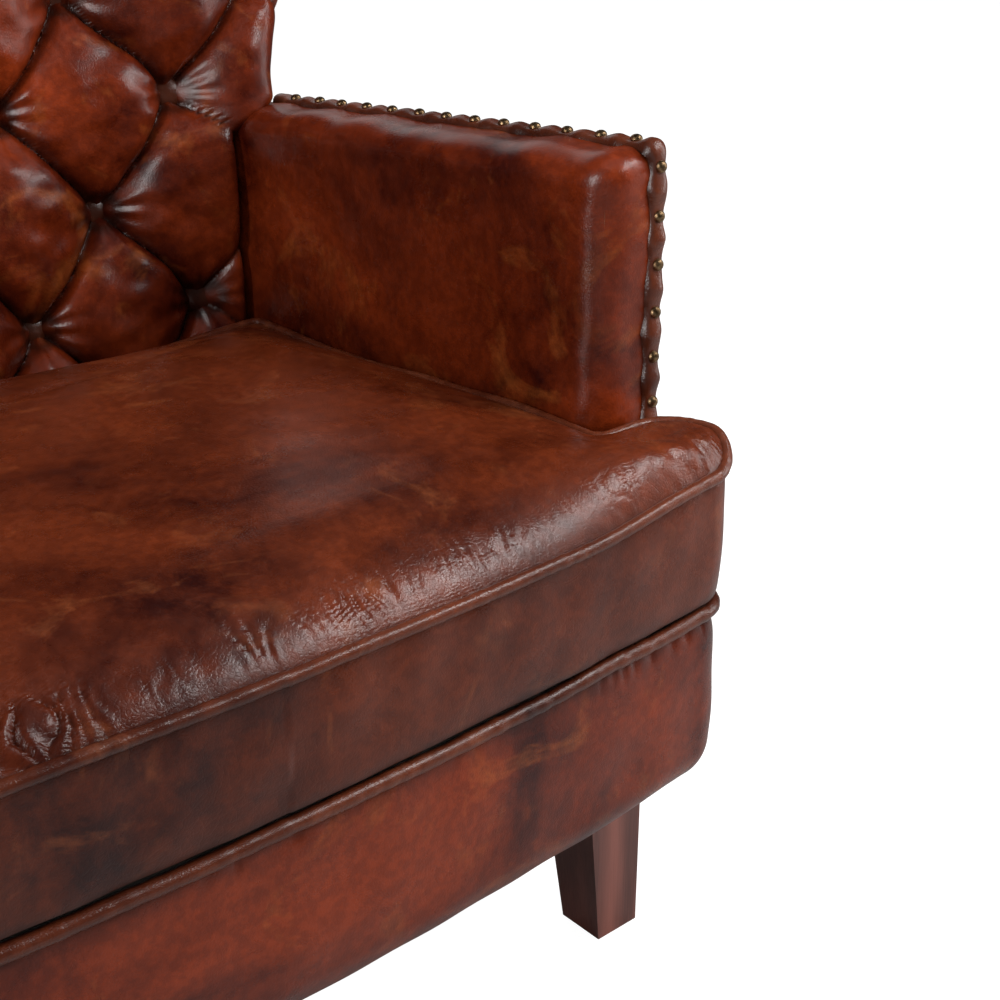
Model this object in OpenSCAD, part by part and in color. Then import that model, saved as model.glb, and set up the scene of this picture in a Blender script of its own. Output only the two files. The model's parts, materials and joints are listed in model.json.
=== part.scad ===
// Upholstered armchair with a loose T-shaped seat cushion, slim nailed arms and a buttoned winged back.
// Millimetres. X across, Y from front to back, Z up. The origin is at the middle of the footprint, on the floor.

/* [Seat] */
// Half of the greatest width over the rounded front lobes
lobe_half = 368; // [350:1:400]
// Radius of each rounded front lobe
lobe_r = 37; // [30:1:42]
// How far the middle of the front bows ahead of the lobes
bow = 17; // [8:1:30]
// Underside of the upholstered base
base_bottom = 170; // [150:1:180]
// Top of the front border of the base
base_top = 297; // [275:1:300]
// Height of the cushion border
border_h = 78; // [60:1:95]
// Crown of the cushion above its border
crown = 54; // [30:1:60]
// Radius of the leather welts
welt_r = 4; // [3:0.5:5]

/* [Arms] */
// Outer face of the arms from the middle
arm_out = 358; // [345:1:370]
// Thickness of the arms over their covers
arm_t = 54; // [48:1:70]
// Height of the arms at the front
arm_h = 593; // [560:1:640]
// Drop of the arm top for each millimetre towards the back
arm_slope = 0.074; // [0:0.002:0.12]
// Distance between the dome nails
nail_pitch = 31; // [25:1:50]
// Radius of a dome nail
nail_r = 4; // [3:0.5:6]

/* [Back] */
// Lean of the back in degrees
recline = 11; // [6:0.5:16]
// Length of the back along its lean, from the cushion's underside
back_len = 690; // [620:5:740]
// Greatest half width over the wings
wing_half = 388; // [370:1:400]
// Thickness of the buttoned pad
pad_t = 91; // [70:1:100]
// Sideways distance between buttons in a row
button_dx = 134; // [110:1:150]
// Distance between rows of buttons
button_dz = 80; // [60:1:95]

/* [Legs] */
// Width of a leg at the floor
leg_b = 39; // [34:1:46]
// Width of a front leg at its top
leg_top = 56; // [46:1:64]

/* [Hidden] */
$fn = 48;
y_mid = 27.9;
front_y = -400;
lobe_x = lobe_half - lobe_r;
lobe_y = front_y + bow + lobe_r;
bow_r = (lobe_x * lobe_x + bow * bow) / (2 * bow);
neck = arm_out - arm_t - 2;
seat_back = 82;
back_y = 84;
back_z = 300;
cush_z = base_top + 14;
top_z = cush_z + border_h;
arm_in = arm_out - arm_t;
arm_front = -303;
rail_z = 185;
rail_h = base_top - 188;
wood = [0.55, 0.38, 0.22];
dark_wood = [0.2, 0.09, 0.06];
hide = [0.32, 0.12, 0.06];
cloth = [0.16, 0.13, 0.11];

function arm_z(y) = arm_h - (y - arm_front) * arm_slope;

module place() {
  translate([0, y_mid, 0])
    children();
}

module lean() {
  translate([0, y_mid + back_y, back_z])
    rotate([-recline, 0, 0])
      children();
}

// A profile drawn in y and z, extruded along x from x0 to x1
module side_slab(x0, x1, pts) {
  translate([x0, 0, 0])
    rotate([90, 0, 90])
      linear_extrude(x1 - x0)
        polygon(pts);
}

module flip(side) {
  if (side > 0) {
    children();
  } else {
    mirror([1, 0, 0])
      children();
  }
}

module box(x0, x1, y0, y1, z0, z1) {
  translate([x0, y0, z0])
    cube([x1 - x0, y1 - y0, z1 - z0]);
}

// The bowed front with its two round lobes, drawn smaller by i
module front_plan(i) {
  intersection() {
    translate([0, front_y + bow_r])
      circle(r = bow_r - i, $fn = 720);
    translate([-lobe_x, front_y - 1])
      square([2 * lobe_x, lobe_y - front_y + 1]);
  }
  for (s = [-1, 1]) {
    translate([s * lobe_x, lobe_y])
      circle(r = lobe_r - i);
  }
  translate([-lobe_x, lobe_y - 1])
    square([2 * lobe_x, lobe_r - i + 1]);
}

// The whole T shape of the loose cushion
module t_plan(i) {
  front_plan(i);
  translate([-(neck - i), lobe_y])
    square([2 * (neck - i), seat_back - i - lobe_y]);
}

module slab(z0, z1) {
  translate([0, 0, z0])
    linear_extrude(z1 - z0)
      children();
}

// A flat-sided cord of leather that follows a plan
module cord(z) {
  slab(z, z + 2 * welt_r)
    difference() {
      children(0);
      children(1);
    }
}

module front_rail() {
  color(wood)
    place()
      slab(rail_z, rail_z + rail_h)
        intersection() {
          difference() {
            front_plan(17);
            translate([0, front_y + bow_r])
              circle(r = bow_r - 38, $fn = 720);
          }
          translate([-309, -410])
            square([618, 60]);
        }
}

module back_rail() {
  color(wood)
    place()
      box(-313.8, 313.8, 150, 182, rail_z, rail_z + 97);
}

module side_rail(s) {
  color(wood)
    place()
      flip(s)
        box(314, 350, -308, 182, rail_z, rail_z + 100);
}

module side_rail_left() {
  side_rail(-1);
}

module side_rail_right() {
  side_rail(1);
}

module corner_blocks() {
  color(wood)
    place()
      for (s = [-1, 1]) {
        flip(s) {
          slab(rail_z + 12, rail_z + 72)
            polygon([[313.8, -300], [313.8, -236], [250, -300]]);
          slab(rail_z + 12, rail_z + 72)
            polygon([[313.8, 149.8], [313.8, 90], [254, 149.8]]);
        }
      }
}

module lobe_blocks() {
  color(wood)
    place()
      for (s = [-1, 1]) {
        translate([s * lobe_x, lobe_y, rail_z])
          cylinder(r = 19, h = 102);
      }
}

module front_post(s) {
  color(wood)
    place()
      flip(s)
        side_slab(314, 350, [[-296.6, 285.2], [-262, 285.2], [-262, arm_z(-262) - 18.4],
          [-296.6, arm_z(-296.6) - 18.4]]);
}

module front_post_left() {
  front_post(-1);
}

module front_post_right() {
  front_post(1);
}

module arm_rail(s) {
  color(wood)
    place()
      flip(s)
        side_slab(314, 350, [[-261.8, arm_z(-261.8) - 18.4], [-261.8, arm_z(-261.8) - 44],
          [228, arm_z(228) - 44], [232, arm_z(232) - 18.4]]);
}

module arm_rail_left() {
  arm_rail(-1);
}

module arm_rail_right() {
  arm_rail(1);
}

module arm_slat(s) {
  color(wood)
    place()
      flip(s)
        box(320, 344, -261.8, 196, 296, 326);
}

module arm_slat_left() {
  arm_slat(-1);
}

module arm_slat_right() {
  arm_slat(1);
}

module back_post(s) {
  color(wood)
    lean()
      flip(s)
        box(262, 303.4, 95, 125, 12, 599.8);
}

module back_post_left() {
  back_post(-1);
}

module back_post_right() {
  back_post(1);
}

// The gently arched top line of the back, seen from the front
module arch(half, z0, drop) {
  intersection() {
    translate([-half, z0])
      square([2 * half, back_len]);
    translate([0, back_len - drop - 3740])
      circle(r = 3740, $fn = 720);
  }
}

module front_slab(y0, y1) {
  translate([0, y1, 0])
    rotate([90, 0, 0])
      linear_extrude(y1 - y0)
        children();
}

module crest_rail() {
  color(wood)
    lean()
      front_slab(95, 125)
        arch(312, 600, 12);
}

module back_tack_rail() {
  color(wood)
    lean()
      box(-261.8, 261.8, 95, 120, 60, 110);
}

module wing_frame(s) {
  color(wood)
    lean()
      flip(s)
        box(320, 338, 20, 125, 300, 620);
}

module wing_frame_left() {
  wing_frame(-1);
}

module wing_frame_right() {
  wing_frame(1);
}

// Square leg, straight on its two outer faces and tapered on the inner two
module front_leg(s) {
  color(dark_wood)
    place()
      flip(s)
        intersection() {
          translate([0, 100, 0])
            rotate([90, 0, 0])
              linear_extrude(600)
                polygon([[360, 3], [360, 169.6], [352.6, 169.6], [352.6, 184.8], [360 - leg_top, 184.8],
                  [360 - leg_b, 3]]);
          side_slab(280, 370, [[-303, 3], [-303, 184.8], [-303 + leg_top, 184.8],
            [-303 + leg_b, 3]]);
        }
}

module front_leg_left() {
  front_leg(-1);
}

module front_leg_right() {
  front_leg(1);
}

module back_leg(s) {
  color(dark_wood)
    place()
      flip(s)
        side_slab(312, 352, [[134, 184.8], [178, 184.8], [232, 3], [197, 3]]);
}

module back_leg_left() {
  back_leg(-1);
}

module back_leg_right() {
  back_leg(1);
}

module leg_bolts() {
  color([0.6, 0.6, 0.62])
    place()
      for (s = [-1, 1]) {
        translate([s * 298, -285, rail_z + 72.2])
          cylinder(r = 7, h = 6);
        translate([s * 298, 134, rail_z + 72.2])
          cylinder(r = 7, h = 6);
      }
}

module leg_glides() {
  color([0.15, 0.15, 0.15])
    place()
      for (s = [-1, 1]) {
        translate([s * (360 - leg_b / 2), -303 + leg_b / 2, 0])
          cylinder(r = 14, h = 2.8);
        translate([s * 332, 214.5, 0])
          cylinder(r = 13, h = 2.8);
      }
}

// One flat zigzag spring drawn in plan
module zigzag() {
  for (k = [0 : 16]) {
    y = -348 + k * 28;
    translate([-22, y - 1.8])
      square([44, 3.6]);
    e = (k % 2 == 0) ? 1 : -1;
    if (k < 16) {
      translate([e * 22, y + 14])
        intersection() {
          difference() {
            circle(r = 15.8);
            circle(r = 12.2);
          }
          translate([e > 0 ? 0 : -20, -20])
            square([20, 40]);
        }
    }
  }
}

module seat_springs() {
  color([0.35, 0.35, 0.37])
    place()
      for (k = [-2 : 2]) {
        translate([k * 112, 0, 0])
          slab(base_top - 12, base_top - 8.4)
            zigzag();
      }
}

module spring_clips() {
  color([0.5, 0.5, 0.52])
    place()
      for (k = [-2 : 2]) {
        box(k * 112 - 12, k * 112 + 12, -374, -346, base_top - 2.8, base_top - 0.2);
        box(k * 112 - 12, k * 112 + 12, 92, 149.8, base_top - 17, base_top - 12.2);
      }
}

module seat_deck() {
  color(cloth)
    place()
      slab(base_top + 0.2, base_top + 13.6)
        t_plan(11);
}

module back_webbing() {
  color([0.5, 0.42, 0.3])
    lean() {
      for (x = [-180, -60, 60, 180]) {
        box(x - 25, x + 25, 92.2, 94.6, 40, 610);
      }
      for (z = [180, 300, 420, 540]) {
        box(-268, 268, 92.2, 94.6, z - 25, z + 25);
      }
    }
}

module front_border() {
  color(hide)
    place()
      slab(base_bottom, base_top)
        difference() {
          front_plan(6);
          front_plan(16);
          translate([-300, -345])
            square([600, 60]);
        }
}

module base_welt() {
  color(hide)
    place()
      cord(base_top + 0.1) {
        front_plan(2);
        union() {
          front_plan(10);
          translate([-296, -345])
            square([592, 60]);
        }
      }
}

module outside_arm(s) {
  color(hide)
    place()
      flip(s)
        side_slab(353, 358, [[-310.6, base_bottom], [-310.6, 296], [-303, 296], [-303, arm_h - 2],
          [250, arm_z(250) - 2], [204, 300], [182, base_bottom]]);
}

module outside_arm_left() {
  outside_arm(-1);
}

module outside_arm_right() {
  outside_arm(1);
}

// Right half of the outline of the winged back, seen from the front
wing_edge = [[352, 285], [366, 330], [380, 390], [wing_half, 460], [wing_half, 560], [382, 610],
  [366, 648], [338, 672]];

module wing_outline() {
  polygon(concat([[300, 284], [352, 284]], wing_edge, [[300, 680]]));
}

module outside_back() {
  color(hide)
    lean()
      front_slab(127, 132)
        polygon(concat([[-352, -107], [352, -107]], wing_edge, [[300, 680], [150, 687],
          [0, back_len], [-150, 687], [-300, 680]],
          [for (k = [7 : -1 : 0]) [-wing_edge[k][0], wing_edge[k][1]]]));
}

module dust_cover() {
  color([0.08, 0.08, 0.08])
    place()
      slab(base_bottom - 2.4, base_bottom - 0.2)
        difference() {
          union() {
            front_plan(34);
            translate([-350, -310])
              square([700, 490]);
            translate([-325, -332])
              square([650, 30]);
          }
          for (s = [-1, 1]) {
            translate([s * 332 - 34, -308])
              square([68, 66]);
            translate([s * 332 - 24, 132])
              square([48, 60]);
          }
        }
}

// Inverted cup of padding and leather over the inner face, top and front of an arm
module arm_pad(s) {
  color(hide)
    place()
      flip(s)
        difference() {
          side_slab(arm_in, 352.8, [[arm_front, 301], [arm_front, arm_h], [246, arm_z(246)],
            [202, 301]]);
          side_slab(arm_in + 8, 354, [[-297, 290], [-297, arm_z(-297) - 18],
            [260, arm_z(260) - 18], [260, 290]]);
        }
}

module arm_pad_left() {
  arm_pad(-1);
}

module arm_pad_right() {
  arm_pad(1);
}

module nail_strip(s) {
  color(hide)
    place()
      flip(s)
        side_slab(343, 360, [[-306, 305], [-306, arm_h + 3], [110, arm_z(110) + 3],
          [110, arm_z(110) + 0.2], [-303.2, arm_h + 0.2], [-303.2, 305]]);
}

module nail_strip_left() {
  nail_strip(-1);
}

module nail_strip_right() {
  nail_strip(1);
}

// Half sphere whose flat face looks along -z
module dome(r) {
  intersection() {
    sphere(r = r);
    translate([-r, -r, 0])
      cube([2 * r, 2 * r, r]);
  }
}

module nails(s) {
  color([0.5, 0.38, 0.2])
    place()
      flip(s) {
        for (k = [0 : 6]) {
          translate([352, -306.2, 582 - k * nail_pitch])
            rotate([90, 0, 0])
              dome(nail_r);
        }
        for (k = [0 : 12]) {
          y = -284 + k * nail_pitch;
          translate([352, y, arm_z(y) + 3.3])
            dome(nail_r);
        }
      }
}

module nails_left() {
  nails(-1);
}

module nails_right() {
  nails(1);
}

// Button centres on the back: wide rows and narrow rows alternate
function button_rows() = [for (r = [0 : 6], k = [0 : 4])
  if (r % 2 == 0 || k < 4)
    [(r % 2 == 0 ? (k - 2) : (k - 1.5)) * button_dx, 120 + r * button_dz]];

module back_pad() {
  color(hide)
    lean()
      difference() {
        front_slab(0, pad_t)
          arch(299, 0, 0);
        for (b = button_rows()) {
          translate([b[0], 26, b[1]])
            rotate([90, 0, 0])
              cylinder(r = 13, h = 30);
        }
      }
}

module wing_pad(s) {
  color(hide)
    lean()
      flip(s)
        difference() {
          intersection() {
            slab(280, 700)
              polygon([[300, 0], [320, -10], [345, -32], [364, -44], [380, -42], [wing_half, -28],
                [wing_half, 126.6], [313, 126.6], [313, 94], [300, 94]]);
            front_slab(-60, 130)
              wing_outline();
          }
          box(319.6, 338.4, 19.6, 128, 299.6, 620.4);
          for (r = [3, 5]) {
            translate([2.5 * button_dx, 6, 120 + r * button_dz])
              rotate([90, 0, 0])
                cylinder(r = 13, h = 40);
          }
        }
}

module wing_pad_left() {
  wing_pad(-1);
}

module wing_pad_right() {
  wing_pad(1);
}

module back_buttons() {
  color(hide)
    lean() {
      for (b = button_rows()) {
        translate([b[0], 25.8, b[1]])
          rotate([90, 0, 0])
            cylinder(r = 11.5, h = 9);
      }
      for (s = [-1, 1], r = [3, 5]) {
        translate([s * 2.5 * button_dx, 5.8, 120 + r * button_dz])
          rotate([90, 0, 0])
            cylinder(r = 11.5, h = 9);
      }
    }
}

module cushion_core() {
  color([0.85, 0.8, 0.6])
    place()
      slab(cush_z + 3, top_z - 0.2)
        t_plan(7.4);
}

module cushion_border() {
  color(hide)
    place()
      slab(cush_z, top_z - 0.2)
        difference() {
          t_plan(4);
          t_plan(7);
          translate([-200, seat_back - 9])
            square([400, 10]);
        }
}

module cushion_top() {
  color(hide)
    place()
      intersection() {
        slab(top_z, top_z + crown + 2)
          t_plan(8.2);
        translate([0, -150, top_z + crown - 2300])
          sphere(r = 2300, $fn = 360);
      }
}

module cushion_bottom() {
  color(hide)
    place()
      slab(cush_z, cush_z + 2.6)
        t_plan(7.4);
}

module cushion_welt() {
  color(hide)
    place()
      cord(top_z) {
        t_plan(0.3);
        t_plan(7.9);
      }
}

module cushion_zip() {
  color([0.12, 0.1, 0.09])
    place() {
      box(-199.8, 199.8, seat_back - 6.8, seat_back - 4.6, cush_z + 8, top_z - 8);
      box(-199.8, 199.8, seat_back - 4.6, seat_back - 3.4, cush_z + 36, cush_z + 42);
    }
}

front_rail();
back_rail();
side_rail_left();
side_rail_right();
corner_blocks();
lobe_blocks();
front_post_left();
front_post_right();
arm_rail_left();
arm_rail_right();
arm_slat_left();
arm_slat_right();
back_post_left();
back_post_right();
crest_rail();
back_tack_rail();
wing_frame_left();
wing_frame_right();
front_leg_left();
front_leg_right();
back_leg_left();
back_leg_right();
leg_bolts();
leg_glides();
seat_springs();
spring_clips();
seat_deck();
back_webbing();
front_border();
base_welt();
outside_arm_left();
outside_arm_right();
outside_back();
dust_cover();
arm_pad_left();
arm_pad_right();
nail_strip_left();
nail_strip_right();
nails_left();
nails_right();
back_pad();
wing_pad_left();
wing_pad_right();
back_buttons();
cushion_core();
cushion_border();
cushion_top();
cushion_bottom();
cushion_welt();
cushion_zip();
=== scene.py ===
# %% [markdown]
# # A tufted leather armchair
# This script dresses a working model of an upholstered armchair. The hard parts already exist as solids,
# so the job here is the soft part: leather pulled over foam, held by buttons, cords and dome nails.
# Everything is in metres. X runs across the chair, Y from the front to the back, Z up.

# %% Set up the frame
import json
import math

import bmesh
import bpy
import numpy as np
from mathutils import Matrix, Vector
from mathutils.kdtree import KDTree


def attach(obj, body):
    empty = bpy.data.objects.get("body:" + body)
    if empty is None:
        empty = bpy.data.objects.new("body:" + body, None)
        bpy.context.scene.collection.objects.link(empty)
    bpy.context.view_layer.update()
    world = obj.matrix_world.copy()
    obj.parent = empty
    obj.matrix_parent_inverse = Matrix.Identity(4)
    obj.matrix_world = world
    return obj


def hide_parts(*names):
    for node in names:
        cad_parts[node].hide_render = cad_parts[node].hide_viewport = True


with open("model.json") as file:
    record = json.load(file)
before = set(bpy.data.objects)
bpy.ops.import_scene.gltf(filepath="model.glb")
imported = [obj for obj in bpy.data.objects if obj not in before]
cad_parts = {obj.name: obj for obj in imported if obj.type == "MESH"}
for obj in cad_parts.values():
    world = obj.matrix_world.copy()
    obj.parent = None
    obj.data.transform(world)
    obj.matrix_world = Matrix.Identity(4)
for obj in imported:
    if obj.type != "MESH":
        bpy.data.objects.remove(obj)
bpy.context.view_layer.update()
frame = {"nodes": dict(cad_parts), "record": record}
FINE = 1.0
ROOT, SEAT = "chair_frame", "seat_cushion"

# %% [markdown]
# ## Sizes
# The numbers below are the same ones the solids were made with. Naming them once keeps leather and
# timber in step: the padding has to land on the frame that carries it.

# %% Name the sizes
Y_MID = 0.0279          # the whole chair is moved back by this much to centre it
FRONT, BOW = -0.400, 0.017
LOBE_HALF, LOBE_R = 0.368, 0.037
LOBE_X, LOBE_Y = LOBE_HALF - LOBE_R, FRONT + BOW + LOBE_R
BOW_R = (LOBE_X ** 2 + BOW ** 2) / (2 * BOW)
NECK, SEAT_BACK = 0.302, 0.082
BASE_BOTTOM, BASE_TOP = 0.170, 0.297
CUSH_BOTTOM, CUSH_EDGE = 0.311, 0.393
ARM_IN, ARM_OUT, ARM_FRONT, ARM_H, ARM_SLOPE = 0.304, 0.358, -0.303, 0.593, 0.074
RECLINE, BACK_Y, BACK_Z = math.radians(11), 0.084, 0.300
BUTTON_DX, BUTTON_DZ, BUTTON_Z0 = 0.134, 0.080, 0.120
NAIL_PITCH, WELT_R = 0.031, 0.0042


def ripple(x, y, wave, seed, n=12):
    """Smooth random hills about `wave` metres apart, with unit spread."""
    rng = np.random.default_rng(seed)
    out = np.zeros(np.broadcast(x, y).shape)
    for _ in range(n):
        a, w, p = rng.uniform(0, 2 * np.pi), wave * rng.uniform(0.7, 1.5), rng.uniform(0, 2 * np.pi)
        out += np.sin((x * np.cos(a) + y * np.sin(a)) * 2 * np.pi / w + p)
    return out / math.sqrt(n / 2)


def smooth(x, a, b):
    t = np.clip((x - a) / (b - a), 0, 1)
    return t * t * (3 - 2 * t)


def lean(x, y, z):
    """From the leaning back's own directions to the chair's."""
    c, s = math.cos(RECLINE), math.sin(RECLINE)
    return np.stack([x, Y_MID + BACK_Y + y * c + z * s, BACK_Z - y * s + z * c], -1)


def piece(name, verts, faces, material, body, replaces=(), fold=None, smooth_faces=True):
    """A mesh piece that rides a body, stands for the named solids and takes a finish slot."""
    me = bpy.data.meshes.new(name)
    faces = faces if isinstance(faces, list) else np.asarray(faces).tolist()
    me.from_pydata(np.asarray(verts).tolist(), [], faces)
    me.update()
    # fold is how deep each point lies in a fold, seam or crease; the leather turns it into painted shade.
    if fold is not None:
        depths = np.clip(fold, 0, 1).astype(np.float32)
        me.attributes.new("fold", "FLOAT", "POINT").data.foreach_set("value", depths)
    bm = bmesh.new()
    bm.from_mesh(me)
    bmesh.ops.remove_doubles(bm, verts=bm.verts, dist=1e-5)
    bmesh.ops.recalc_face_normals(bm, faces=bm.faces)
    bm.to_mesh(me)
    bm.free()
    me.polygons.foreach_set("use_smooth", [smooth_faces] * len(me.polygons))
    me.materials.append(material)
    ob = bpy.data.objects.new(name, me)
    bpy.context.scene.collection.objects.link(ob)
    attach(ob, body)
    if replaces:
        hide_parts(*replaces)
    return ob


def quads(n, m, closed=False):
    """Faces of an n by m grid of points; closed joins the last column to the first."""
    i = np.arange(n - 1)[:, None]
    j = np.arange(m if closed else m - 1)[None, :]
    k = (j + 1) % m
    return np.stack([i * m + j, i * m + k, (i + 1) * m + k, (i + 1) * m + j], -1).reshape(-1, 4)


# %% [markdown]
# ## Leather, timber and metal
# Old waxed leather is never one colour. Folds, seams and creases are painted darker as shade, the wax rubs
# off the high places and the surface breaks into fine pebbles. Three small node groups make those effects
# once, and every
# leather part reuses them: tone gives colour and the painted shade in folds, grain gives height, and weave
# serves the cloths.

# %% Build the shared node groups
def add(tree, kind, inputs=None, **props):
    n = tree.nodes.new(kind)
    for k, v in props.items():
        setattr(n, k, v)
    for k, v in (inputs or {}).items():
        if isinstance(v, bpy.types.NodeSocket):
            tree.links.new(v, n.inputs[k])
        else:
            n.inputs[k].default_value = v
    return n


def math_node(tree, op, a, b=0.0, clamp=False):
    return add(tree, "ShaderNodeMath", {0: a, 1: b}, operation=op, use_clamp=clamp).outputs[0]


def mix(tree, fac, a, b, blend="MIX"):
    n = add(tree, "ShaderNodeMix", {0: fac, 6: a, 7: b}, data_type="RGBA", blend_type=blend)
    return n.outputs[2]


def ramp(tree, fac, *stops):
    n = add(tree, "ShaderNodeValToRGB", {"Fac": fac})
    while len(n.color_ramp.elements) < len(stops):
        n.color_ramp.elements.new(0.5)
    for e, (p, v) in zip(n.color_ramp.elements, stops):
        e.position, e.color = p, (v, v, v, 1)
    return n.outputs[0]


def noise(tree, vec, scale, detail=4.0, rough=0.55, distort=0.0):
    return add(tree, "ShaderNodeTexNoise", {"Vector": vec, "Scale": scale, "Detail": detail,
                                            "Roughness": rough, "Distortion": distort}).outputs[0]


def new_group(name, ins, outs):
    g = bpy.data.node_groups.new(name, "ShaderNodeTree")
    for n, kind, value in ins:
        s = g.interface.new_socket(n, in_out="INPUT", socket_type=kind)
        if value is not None:
            s.default_value = value
    for n, kind in outs:
        g.interface.new_socket(n, in_out="OUTPUT", socket_type=kind)
    return g, g.nodes.new("NodeGroupInput").outputs, g.nodes.new("NodeGroupOutput").inputs


VEC, COL, VAL = "NodeSocketVector", "NodeSocketColor", "NodeSocketFloat"
TONE, gi, go = new_group("Aged hide tone",
                         [("Vector", VEC, None), ("Dark", COL, (0.03, 0.006, 0.003, 1)),
                          ("Mid", COL, (0.12, 0.03, 0.012, 1)), ("Worn", COL, (0.26, 0.1, 0.05, 1)),
                          ("Fold shade", VAL, 0.0)],
                         [("Color", COL)])
# Painted shade: the near-black colour that folds, seams and creases are darkened towards.
FOLD_SHADE_COLOUR = (0.008, 0.002, 0.001, 1)
clouds = noise(TONE, gi["Vector"], 5.5, 6, 0.62, 0.6)
flecks = noise(TONE, gi["Vector"], 34, 7, 0.7, 0.3)
streaks = noise(TONE, gi["Vector"], 13, 5, 0.6, 1.8)
specks = noise(TONE, gi["Vector"], 150, 3, 0.6)
hue = mix(TONE, ramp(TONE, clouds, (0.36, 0), (0.62, 1)), gi["Dark"], gi["Mid"])
hue = mix(TONE, ramp(TONE, flecks, (0.40, 0), (0.72, 0.55)), hue, gi["Mid"])
hue = mix(TONE, ramp(TONE, streaks, (0.56, 0), (0.80, 0.42)), hue, gi["Worn"])
hue = mix(TONE, ramp(TONE, specks, (0.42, 0.28), (0.60, 0)), hue, gi["Dark"])
fold_shade_amount = math_node(TONE, "MULTIPLY", gi["Fold shade"], 0.85, True)
TONE.links.new(mix(TONE, fold_shade_amount, hue, FOLD_SHADE_COLOUR), go["Color"])

GRAIN, gi, go = new_group("Hide grain",
                          [("Vector", VEC, None), ("Pebble", VAL, 420.0), ("Crease", VAL, 0.5)],
                          [("Height", VAL), ("Rough", VAL)])


def cell_edges(tree, vector, scale):
    node = add(tree, "ShaderNodeTexVoronoi", {"Vector": vector, "Scale": scale}, feature="DISTANCE_TO_EDGE")
    return node.outputs[0]


drift = add(GRAIN, "ShaderNodeTexNoise", {"Vector": gi["Vector"], "Scale": 60.0, "Detail": 2.0}).outputs[1]
drift = add(GRAIN, "ShaderNodeVectorMath", {0: drift, 1: (0.004, 0.004, 0.004)}, operation="MULTIPLY")
warp = add(GRAIN, "ShaderNodeVectorMath", {0: gi["Vector"], 1: drift.outputs[0]}, operation="ADD").outputs[0]
pebble = ramp(GRAIN, cell_edges(GRAIN, warp, gi["Pebble"]), (0.0, 0), (0.22, 1))
crackle = ramp(GRAIN, cell_edges(GRAIN, warp, 120.0), (0.0, 0), (0.07, 1))
where_dry = ramp(GRAIN, noise(GRAIN, gi["Vector"], 11, 3), (0.42, 0), (0.62, 1))
wrinkle = math_node(GRAIN, "MULTIPLY", mix(GRAIN, where_dry, (1, 1, 1, 1), crackle), gi["Crease"])
soft = noise(GRAIN, gi["Vector"], 26, 5, 0.55, 0.5)
height = math_node(GRAIN, "ADD", math_node(GRAIN, "MULTIPLY", pebble, 0.35), wrinkle)
GRAIN.links.new(math_node(GRAIN, "ADD", height, math_node(GRAIN, "MULTIPLY", soft, 1.7)), go["Height"])
polish = noise(GRAIN, gi["Vector"], 18, 6, 0.65, 0.8)
GRAIN.links.new(ramp(GRAIN, polish, (0.3, 0.22), (0.7, 0.38)), go["Rough"])

WEAVE, gi, go = new_group("Plain weave", [("Vector", VEC, None), ("Threads", VAL, 700.0)],
                          [("Height", VAL), ("Tone", VAL)])
warp_yarn, weft_yarn = (add(WEAVE, "ShaderNodeTexWave", {"Vector": gi["Vector"], "Scale": gi["Threads"]},
                            bands_direction=across).outputs[1] for across in "XY")
cloth = math_node(WEAVE, "MAXIMUM", warp_yarn, weft_yarn)
WEAVE.links.new(cloth, go["Height"])
WEAVE.links.new(math_node(WEAVE, "MULTIPLY", cloth, noise(WEAVE, gi["Vector"], 40)), go["Tone"])


def material(name):
    m = bpy.data.materials.new(name)
    m.use_nodes = True
    tree = m.node_tree
    return m, tree, tree.nodes["Principled BSDF"], tree.nodes.new("ShaderNodeTexCoord").outputs["Object"]


def bump(tree, bsdf, height, strength, distance):
    n = add(tree, "ShaderNodeBump", {"Height": height, "Strength": strength, "Distance": distance})
    tree.links.new(n.outputs[0], bsdf.inputs["Normal"])


def leather(name, dark, mid, worn, crease, strength, coat):
    """Waxed hide in three tones. crease and strength set how far it is broken up, coat how waxy it is."""
    m, t, b, vec = material(name)
    # Each piece's fold attribute darkens the leather as painted shade in its folds, seams and creases.
    fold = add(t, "ShaderNodeAttribute", attribute_name="fold").outputs["Fac"]
    tone = add(t, "ShaderNodeGroup", node_tree=TONE)
    grain = add(t, "ShaderNodeGroup", node_tree=GRAIN)
    for g in (tone, grain):
        t.links.new(vec, g.inputs["Vector"])
    t.links.new(fold, tone.inputs["Fold shade"])
    for k, v in (("Dark", dark), ("Mid", mid), ("Worn", worn)):
        tone.inputs[k].default_value = (*v, 1)
    grain.inputs["Crease"].default_value = crease
    t.links.new(tone.outputs["Color"], b.inputs["Base Color"])
    t.links.new(grain.outputs["Rough"], b.inputs["Roughness"])
    b.inputs["Specular IOR Level"].default_value = 0.36
    b.inputs["Coat Weight"].default_value = coat
    b.inputs["Coat Roughness"].default_value = 0.28
    bump(t, b, grain.outputs["Height"], strength, 0.0007)
    return m


HIDE = leather("Aged leather", (0.016, 0.0006, 0.0002), (0.152, 0.0195, 0.0036),
               (0.34, 0.092, 0.020), 0.35, 0.22, 0.14)
# The seat cushion takes its own copy of the leather, darker than the rest.
SEAT_HIDE = leather("Aged leather, seat copy", (0.013, 0.0012, 0.0005), (0.100, 0.0170, 0.0045),
                    (0.25, 0.070, 0.022), 0.4, 0.22, 0.14)
CORD_HIDE = leather("Aged leather cord", (0.018, 0.003, 0.0014), (0.095, 0.021, 0.008),
                    (0.26, 0.085, 0.04), 0.2, 0.35, 0.3)
BUTTON_HIDE = leather("Aged leather button", (0.018, 0.004, 0.002), (0.075, 0.018, 0.0075),
                      (0.20, 0.07, 0.03), 0.2, 0.3, 0.3)


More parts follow.
